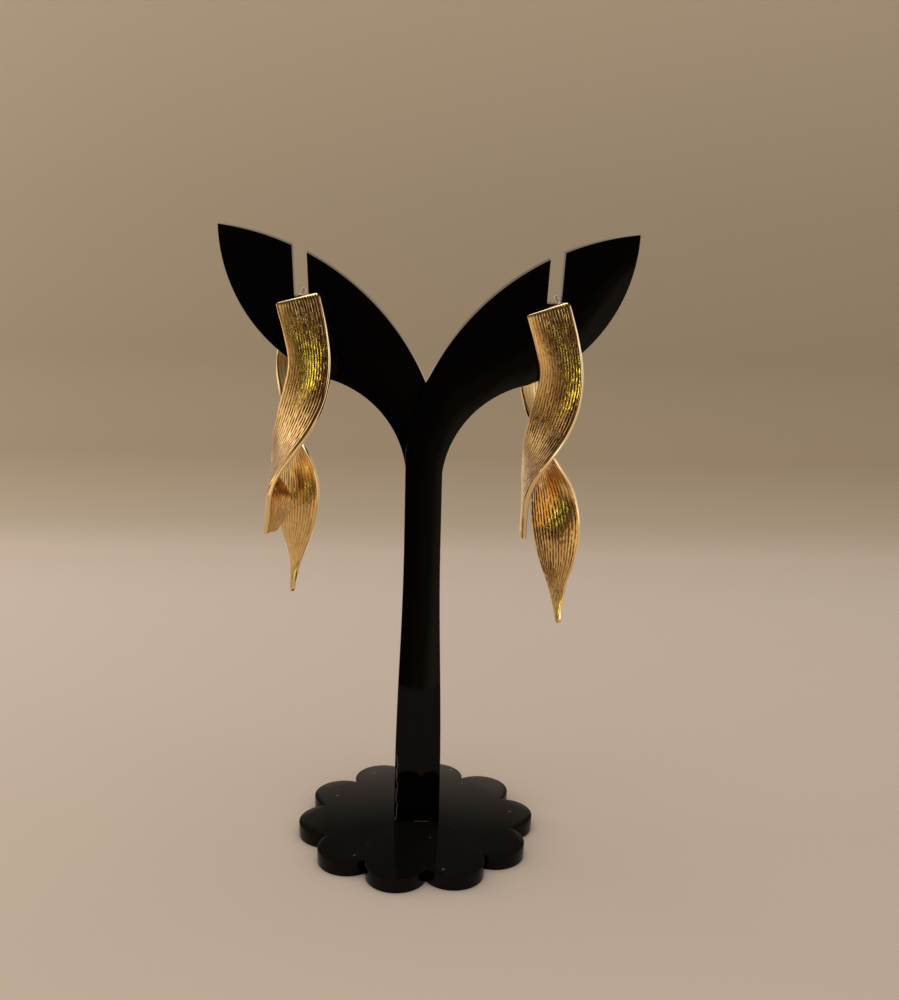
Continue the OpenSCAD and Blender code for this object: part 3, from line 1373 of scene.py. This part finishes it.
# Share of the way down, then the ridges' strength at the left edge, the middle and the right edge.
FRONT_RELIEF = (
    (0.00, 0.30, 1.20, 1.30),
    (0.12, 0.20, 1.05, 1.30),
    (0.24, 0.30, 0.60, 1.20),
    (0.46, 0.50, 0.65, 1.10),
    (0.60, 0.38, 0.62, 0.95),
    (0.80, 0.28, 0.50, 0.65),
    (1.00, 0.30, 0.45, 0.45),
)

BACK_RELIEF = {
    Side.LEFT: (
        (0.00, 0.05, 0.20, 0.20),
        (0.30, 0.08, 0.30, 0.30),
        (0.45, 0.45, 0.60, 0.60),
        (0.60, 0.40, 0.45, 0.55),
        (1.00, 0.25, 0.30, 0.40),
    ),
    Side.RIGHT: (
        (0.00, 0.05, 0.20, 0.20),
        (0.30, 0.08, 0.30, 0.40),
        (0.45, 0.45, 0.65, 1.10),
        (0.65, 0.60, 0.80, 1.35),
        (1.00, 0.50, 0.65, 0.80),
    ),
}

BACK_LUMPS = {Side.LEFT: 0.7, Side.RIGHT: 1.6}


@dataclass
class Earring:
    """Two soldered blades on a post, hung in one slot.

    Solder is the place where the blades cross, and rest is the X and Y of the post over its slot.
    The groove starts some way before the post's end. The two drops are shares of the solder's size.
    """

    side: Side
    gold: bpy.types.Material
    ridges: bpy.types.NodeTree
    front: Hang
    back: Hang
    solder: tuple
    rest: tuple
    seed: int
    seed_step: int = 4
    front_corner: float = 0.35
    post_z: float = 107.6
    post_d: float = 0.8
    post_len: float = 8.5
    post_rise: float = 3.0
    post_sides: int = 32
    dome_steps: int = 7
    groove_start: float = 2.0
    groove_wide: float = 0.5
    groove_deep: float = 0.09
    groove_steps: int = 6
    solder_r: float = 0.8
    solder_sides: int = 28
    solder_steps: int = 17
    post_drop: float = 0.8
    blade_drop: float = 0.65
    crease: float = 40.0

    @property
    def node(self) -> str:
        """The earring's node."""
        return f"{self.side.word}_earring"

    def on_post(self, y: float) -> Matrix:
        """Axes on the post.

        Args:
            y: where along the post.

        Returns:
            A place whose Z runs back along the post.
        """
        rise = math.radians(self.post_rise)
        spot = Vector((self.rest[0], y, self.post_z + (y - self.rest[1]) * math.tan(rise)))
        return Matrix.Translation(spot) @ Matrix.Rotation(rise - math.pi / 2, 4, "X")

    def post_profile(self) -> list[tuple]:
        """Outline of the post, with its groove and its rounded end.

        Returns:
            Radius and height of each ring.
        """
        r, end, steps = self.post_d / 2, self.post_len, self.groove_steps
        start = end - self.groove_start
        groove = [(r - self.groove_deep * math.sin(math.pi * k / steps),
                   start + self.groove_wide * k / steps) for k in range(1, steps)]
        dome = [(r * math.cos(a), end - r + r * math.sin(a))
                for a in np.linspace(0, math.pi / 2, self.dome_steps)[:-1]]
        return [(0, 0), (r, 0), (r, start), *groove, (r, start + self.groove_wide), *dome, (0, end)]

    def build_fittings(self) -> bpy.types.Object:
        """Turns the post, and drops the solder at the two joints.

        Returns:
            The dressed post and solder.
        """
        root = self.front.top[1]
        points, faces = turned_shape(self.post_profile(), self.post_sides, self.on_post(root))
        behind = self.on_post(root + self.solder_r) @ Vector((0, self.solder_r / 2, 0))
        angles = np.linspace(-math.pi / 2, math.pi / 2, self.solder_steps)[1:-1]
        for spot, size in ((behind, self.post_drop), (Vector(self.solder), self.blade_drop)):
            radius = self.solder_r * size
            rings = [(radius * math.cos(a), radius * math.sin(a)) for a in angles]
            ball = [(0, -radius), *rings, (0, radius)]
            more, shells = turned_shape(ball, self.solder_sides, Matrix.Translation(spot))
            faces += [tuple(i + len(points) for i in shell) for shell in shells]
            points += more
        piece = new_piece(f"{self.side.word}_post_and_solder", points, faces)
        fix_normals(piece)
        shade(piece, self.crease)
        return dress(piece, self.gold, self.node)

    def build(self) -> list[bpy.types.Object]:
        """Builds the two blades, the post and the solder.

        Returns:
            The dressed pieces.
        """
        front = BladeShape(FRONT_ROWS[self.side], FRONT_RELIEF, left_corner=self.front_corner)
        back = BladeShape(BACK_ROWS, BACK_RELIEF[self.side], lumps=BACK_LUMPS[self.side])
        pieces = []
        for word, shape, hang, step in (("front", front, self.front, 0), ("back", back, self.back, 1)):
            blade = RibbonBlade(shape, hang, self.ridges)
            name, seed = f"{self.side.word}_{word}_blade", self.seed + step * self.seed_step
            pieces.append(blade.build(name, self.gold, self.node, seed))
        return pieces + [self.build_fittings()]


# Room


@dataclass(frozen=True)
class Patch:
    """A soft round patch of the surroundings, for polished faces: direction, radius and light.

    It is full out to one share of its radius, and gone at another.
    """

    azimuth: float
    height: float
    radius: float
    colour: tuple
    full: float = 0.5
    gone: float = 1.35

    def way(self) -> tuple:
        """Direction of its middle: azimuth 0 is away from the viewer and 90 is to the right."""
        turn, rise = math.radians(self.azimuth), math.radians(self.height)
        return (math.sin(turn) * math.cos(rise), math.cos(turn) * math.cos(rise), math.sin(rise))

    def mask(self, make: TreeBuilder, way: bpy.types.NodeSocket) -> bpy.types.NodeSocket:
        """How much of the patch there is in a direction."""
        ends = (math.cos(math.radians(self.radius * share)) for share in (self.gone, self.full))
        return make.spread(make.dot(way, self.way()), *ends)


@dataclass(frozen=True)
class Surroundings:
    """The room that polished faces mirror: a dark figure before pale walls, a ceiling and patches.

    The figure's heading, level and half sizes are in degrees. Edges are the two ends of a fade:
    at the figure's seam and shoulder in degrees, at its heart and rim in shares of its size, and
    elsewhere in the height of a direction, or how far it points to the right.
    """

    heading: float = -145.0
    level: float = -10.0
    half_width: float = 48.0
    half_below: float = 28.0
    half_above: float = 90.0
    seam_edge: tuple = (-5.0, 5.0)
    shoulder_edge: tuple = (-2.0, 8.0)
    shoulder: float = 0.45
    heart: tuple = (0.050, 0.036, 0.030, 1.0)
    rim: tuple = (0.23, 0.145, 0.080, 1.0)
    heart_edge: tuple = (0.35, 0.75)
    rim_edge: tuple = (0.86, 1.12)
    wall: tuple = (0.64, 0.53, 0.44, 1.0)
    low_wall: tuple = (0.86, 0.70, 0.50, 1.0)
    low_edge: tuple = (-0.10, -0.30)
    ceiling: tuple = (0.11, 0.09, 0.07, 1.0)
    ceiling_edge: tuple = (0.36, 0.52)
    overhead: tuple = (0.30, 0.29, 0.27, 1.0)
    overhead_edge: tuple = (0.80, 0.98)
    dark: tuple = (0.0, 0.0, 0.0, 1.0)
    dim_edge: tuple = (0.1, 0.7)
    dim_share: float = 0.25
    patches: tuple = (
        Patch(0, 1, 8, (0.21, 0.175, 0.135)),
        Patch(124, 1, 20, (1.55, 1.66, 1.95)),
        Patch(-38, -5, 13, (0.30, 0.24, 0.22)),
        Patch(-62, -8, 10, (0.40, 0.32, 0.27)),
        Patch(-147, -18, 3.4, (2.20, 2.45, 0.60)),
        Patch(-140, -12, 2.9, (1.20, 1.35, 0.40)),
        Patch(-131, -7, 4.4, (4.20, 4.60, 1.20)),
        Patch(-119, -6, 3.6, (1.40, 1.40, 0.60)),
    )

    def figure_reach(self, make: TreeBuilder, way: bpy.types.NodeSocket) -> bpy.types.NodeSocket:
        """How far a direction is from the figure's middle.

        Args:
            make: builder on the world.
            way: the direction.

        Returns:
            The square of its share of the figure's size: 0 in the middle and 1 at the outline.
        """
        angles = (math.radians(self.heading), math.radians(self.heading) + math.pi / 2)
        along, across = (make.dot(way, (math.sin(a), math.cos(a), 0.0)) for a in angles)
        degrees = 180 / math.pi
        turn = make.times(make.math("ARCTAN2", across, along), degrees)
        rise = make.math("MULTIPLY_ADD", make.math("ARCSINE", make.axes(way)[2]), degrees, -self.level)

        def squared(value: object, size: float) -> bpy.types.NodeSocket:
            """Square of a value's share of a size."""
            return make.math("POWER", make.math("DIVIDE", value, size), 2.0)

        narrow = make.spread(rise, *self.shoulder_edge, 1.0, self.shoulder)
        width = make.spread(turn, *self.seam_edge, narrow, 1.0)
        aside = make.times(squared(turn, self.half_width), width)
        below = squared(make.math("MINIMUM", rise, 0.0), self.half_below)
        above = squared(make.math("MAXIMUM", rise, 0.0), self.half_above)
        return make.math("ADD", aside, make.math("ADD", below, above))

    def tone(self, make: TreeBuilder, way: bpy.types.NodeSocket) -> bpy.types.NodeSocket:
        """Tone of the surroundings.

        Args:
            make: builder on the world.
            way: the direction.

        Returns:
            The tone in that direction.
        """
        aside, _, high = make.axes(way)
        reach = self.figure_reach(make, way)
        lit = make.blend(make.spread(high, *self.low_edge), self.wall, self.low_wall)
        figure = make.blend(make.spread(reach, *self.heart_edge), self.heart, self.rim)
        tone = make.blend(make.spread(reach, *self.rim_edge), figure, lit)
        upper = make.blend(make.spread(high, *self.overhead_edge), self.ceiling, self.overhead)
        tone = make.blend(make.spread(high, *self.ceiling_edge), tone, upper)
        tone = make.blend(make.times(make.spread(aside, *self.dim_edge), self.dim_share), tone, self.dark)
        for patch in self.patches:
            tone = make.blend(patch.mask(make, way), tone, (*patch.colour, 1.0))
        return tone


@dataclass(frozen=True)
class Softbox:
    """One soft light: its place, what it points at and its size in millimetres, and its power.

    Seen says whether polished faces mirror it, and lights whether it lights matt faces.
    """

    name: str
    spot: tuple
    aim: tuple
    size: tuple
    watts: float
    seen: bool = True
    lights: bool = True
    colour: tuple = (1.0, 0.95, 0.88)

    def build(self) -> None:
        """Hangs the light."""
        lamp = bpy.data.lights.new(self.name, "AREA")
        lamp.shape = "RECTANGLE"
        lamp.size, lamp.size_y = self.size[0] * MM, self.size[1] * MM
        lamp.energy = self.watts
        lamp.color = self.colour
        light = bpy.data.objects.new(self.name, lamp)
        bpy.context.scene.collection.objects.link(light)
        way = (Vector(self.aim) - Vector(self.spot)).normalized()
        turn = way.to_track_quat("-Z", "Y").to_matrix().to_4x4()
        light.matrix_world = Matrix.Translation(Vector(self.spot) * MM) @ turn
        light.visible_camera = False
        light.visible_glossy = self.seen
        light.visible_diffuse = self.lights


@dataclass
class Sweep:
    """Pale paper that lies on the floor and bends up into a backdrop.

    Near gives the left, right, front and back of the floor near the stand. Each tone has its distance along
    the paper from the stand, and its colour, which holds painted light and shade: darkest through the bend,
    lighter on the floor and up the wall.
    """

    floor_lines: tuple = (-900.0, -400.0, 0.0, 60.0)
    bend_start: float = 180.0
    bend_r: float = 60.0
    bend_steps: int = 32
    wall_top: float = 330.0
    half_width: float = 1400.0
    columns: int = 9
    near: tuple = (-180.0, 120.0, -75.0, 100.0)
    crease: float = 60.0
    # Painted light and shade: the paper darkens through the bend and lightens on the floor and up the wall.
    tones_with_painted_light: tuple = (
        (0.0, (0.47, 0.39, 0.32)),
        (140.0, (0.53, 0.45, 0.39)),
        (183.0, (0.52, 0.44, 0.37)),
        (205.0, (0.40, 0.33, 0.25)),
        (235.0, (0.33, 0.26, 0.18)),
        (275.0, (0.38, 0.31, 0.22)),
        (330.0, (0.40, 0.33, 0.24)),
        (400.0, (0.46, 0.38, 0.28)),
    )

    def profile(self) -> list[tuple]:
        """Side view of the paper.

        Returns:
            Y, Z and distance along the paper of each line across it.
        """
        start, r = self.bend_start, self.bend_r
        floor = [(y, 0.0, y) for y in sorted((*self.floor_lines, *self.near[2:]))]
        angles = [math.pi / 2 * k / self.bend_steps for k in range(self.bend_steps + 1)]
        bend = [(start + r * math.sin(a), r * (1 - math.cos(a)), start + r * a) for a in angles]
        return floor + bend + [(start + r, self.wall_top, start + r * math.pi / 2 + self.wall_top - r)]

    def build(self) -> None:
        """Lays the paper in two pieces.

        The floor near the stand is a piece of its own, because only that piece is mirrored in
        polished faces. The rest is too evenly lit to look like the room round a real stand.
        """
        left, right, front, back = self.near
        profile = self.profile()
        xs = sorted([left, right, *np.linspace(-self.half_width, self.half_width, self.columns)])
        points = np.array([(x, y, z) for y, z, _ in profile for x in xs])
        w = len(xs)
        faces = [(i * w + k, i * w + k + 1, (i + 1) * w + k + 1, (i + 1) * w + k)
                 for i in range(len(profile) - 1) for k in range(w - 1)]
        middles = [points[list(f)].mean(0) for f in faces]
        near = [f for f, (x, y, _) in zip(faces, middles) if left < x < right and front < y < back]
        paper = self.build_paper()
        runs = np.repeat([run for _, _, run in profile], w)
        for name, part in (("near_floor", near), ("floor_sweep", [f for f in faces if f not in near])):
            sweep = new_piece(name, points, part)
            note(sweep.data, "run", runs)
            shade(sweep, self.crease)
            sweep.data.materials.append(paper)
            sweep.visible_glossy = part is near

    def build_paper(self) -> bpy.types.Material:
        """Matt warm paper whose colour changes up the sweep as painted light and shade, seen from its front
        only.

        Returns:
            The material.
        """
        material = bpy.data.materials.new("warm_paper_painted_light")
        make = start_tree(material)
        low, high = self.tones_with_painted_light[0][0], self.tones_with_painted_light[-1][0]
        # The ramp paints light and shade along the paper.
        ramp = make.node("ShaderNodeValToRGB", {0: make.spread(make.attribute("run"), low, high)})
        while len(ramp.color_ramp.elements) < len(self.tones_with_painted_light):
            ramp.color_ramp.elements.new(0.5)
        for element, (spot, colour) in zip(ramp.color_ramp.elements, self.tones_with_painted_light):
            element.position, element.color = (spot - low) / (high - low), (*colour, 1.0)
        matt = make.node("ShaderNodeBsdfDiffuse", {"Color": ramp.outputs[0]})
        clear = make.node("ShaderNodeBsdfTransparent")
        back = make.node("ShaderNodeNewGeometry").outputs["Backfacing"]
        mix = make.node("ShaderNodeMixShader", {0: back, 1: matt.outputs[0], 2: clear.outputs[0]})
        make.node("ShaderNodeOutputMaterial", {"Surface": mix.outputs[0]})
        return material


@dataclass
class Room:
    """Pale sweep, soft lights, surroundings for the polished faces, and the camera.

    The focal length and the frame's width are in pixels, and the camera's turns in degrees.
    """

    focal: float = 1274.975
    frame_wide: float = 899.0
    sensor: float = 36.0
    clip: tuple = (0.01, 20.0)
    eye: tuple = (-2.097, -232.106, 133.529)
    yaw: float = 1.747
    pitch: float = 15.390
    roll: float = 1.542
    soft_low: tuple = (0.55, 0.50, 0.45, 1.0)
    soft_high: tuple = (1.0, 0.97, 0.93, 1.0)
    soft_edge: tuple = (0.1, 0.9)
    softboxes: tuple = (
        Softbox("left_softbox", (-330, 90, 130), (0, 0, 70), (260, 240), 0.35, seen=False),
        Softbox("left_card", (-92, 30, 92), (-23, 0, 85), (56, 40), 0.0045, lights=False),
        Softbox("top_softbox", (0, 20, 620), (0, 20, 0), (420, 420), 1.0),
    )

    def build_world(self) -> None:
        """Fills the room with soft light, and gives polished faces their surroundings."""
        world = bpy.data.worlds.new("soft_room")
        bpy.context.scene.world = world
        make = start_tree(world)
        way = make.node("ShaderNodeTexCoord").outputs["Generated"]
        soft = make.blend(make.spread(make.axes(way)[2], *self.soft_edge), self.soft_low, self.soft_high)
        mirrored = make.node("ShaderNodeLightPath").outputs["Is Glossy Ray"]
        tone = make.blend(mirrored, soft, Surroundings().tone(make, way))
        light = make.node("ShaderNodeBackground", {"Color": tone, "Strength": 1.0})
        make.node("ShaderNodeOutputWorld", {"Surface": light.outputs[0]})

    def build_camera(self) -> None:
        """Sets the camera at the viewer's place."""
        camera = bpy.data.objects.new("camera", bpy.data.cameras.new("camera"))
        bpy.context.scene.collection.objects.link(camera)
        data = camera.data
        data.sensor_fit = "HORIZONTAL"
        data.sensor_width = self.sensor
        data.lens = self.focal * self.sensor / self.frame_wide
        data.clip_start, data.clip_end = self.clip
        yaw, pitch, roll = (math.radians(a) for a in (self.yaw, self.pitch, self.roll))
        ahead = Vector((math.sin(yaw) * math.cos(pitch), math.cos(yaw) * math.cos(pitch), -math.sin(pitch)))
        right = Vector((math.cos(yaw), -math.sin(yaw), 0))
        up = right.cross(ahead)
        turned = math.cos(roll) * right + math.sin(roll) * up
        upright = -math.sin(roll) * right + math.cos(roll) * up
        camera.matrix_world = Matrix((
            (turned.x, upright.x, -ahead.x, self.eye[0] * MM),
            (turned.y, upright.y, -ahead.y, self.eye[1] * MM),
            (turned.z, upright.z, -ahead.z, self.eye[2] * MM),
            (0, 0, 0, 1)))
        bpy.context.scene.camera = camera

    def build(self) -> None:
        """Builds the sweep, the light and the camera."""
        Sweep().build()
        self.build_world()
        for softbox in self.softboxes:
            softbox.build()
        self.build_camera()
        bpy.context.scene.view_settings.view_transform = "Standard"


def main() -> None:
    """Builds the stand, the earrings and the room."""
    logging.basicConfig(level=logging.INFO, format="%(message)s")
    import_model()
    effects = SharedEffects()
    gold = GoldFinish().build(effects)
    acrylic = AcrylicFinish().build(effects)
    cement = CementFinish().build(effects)
    ridges = ridge_tree()
    stand = Stand(acrylic, cement, scallop_tree())
    left = Earring(Side.LEFT, gold, ridges, seed=3,
                   front=Hang((-23.2, -2.5, 107.0), (-1.7, 9.9, 8.4)),
                   back=Hang((-21.9, 4.5, 108.7), (2.7, 2.6, -1.3)),
                   solder=(-26.6, 2.3, 85.8), rest=(-22.75, 1.0))
    right = Earring(Side.RIGHT, gold, ridges, seed=11,
                    front=Hang((21.4, -5.9, 106.5), (2.4, 5.4, 2.3)),
                    back=Hang((22.1, 4.4, 105.1), (-2.8, -5.6, 2.0)),
                    solder=(19.8, 1.0, 85.3), rest=(23.55, -2.0))
    for part in (stand, left, right):
        pieces = part.build()
        LOG.info("%s: %d pieces", type(part).__name__, len(pieces))
    Room().build()


if __name__ == "__main__":
    main()
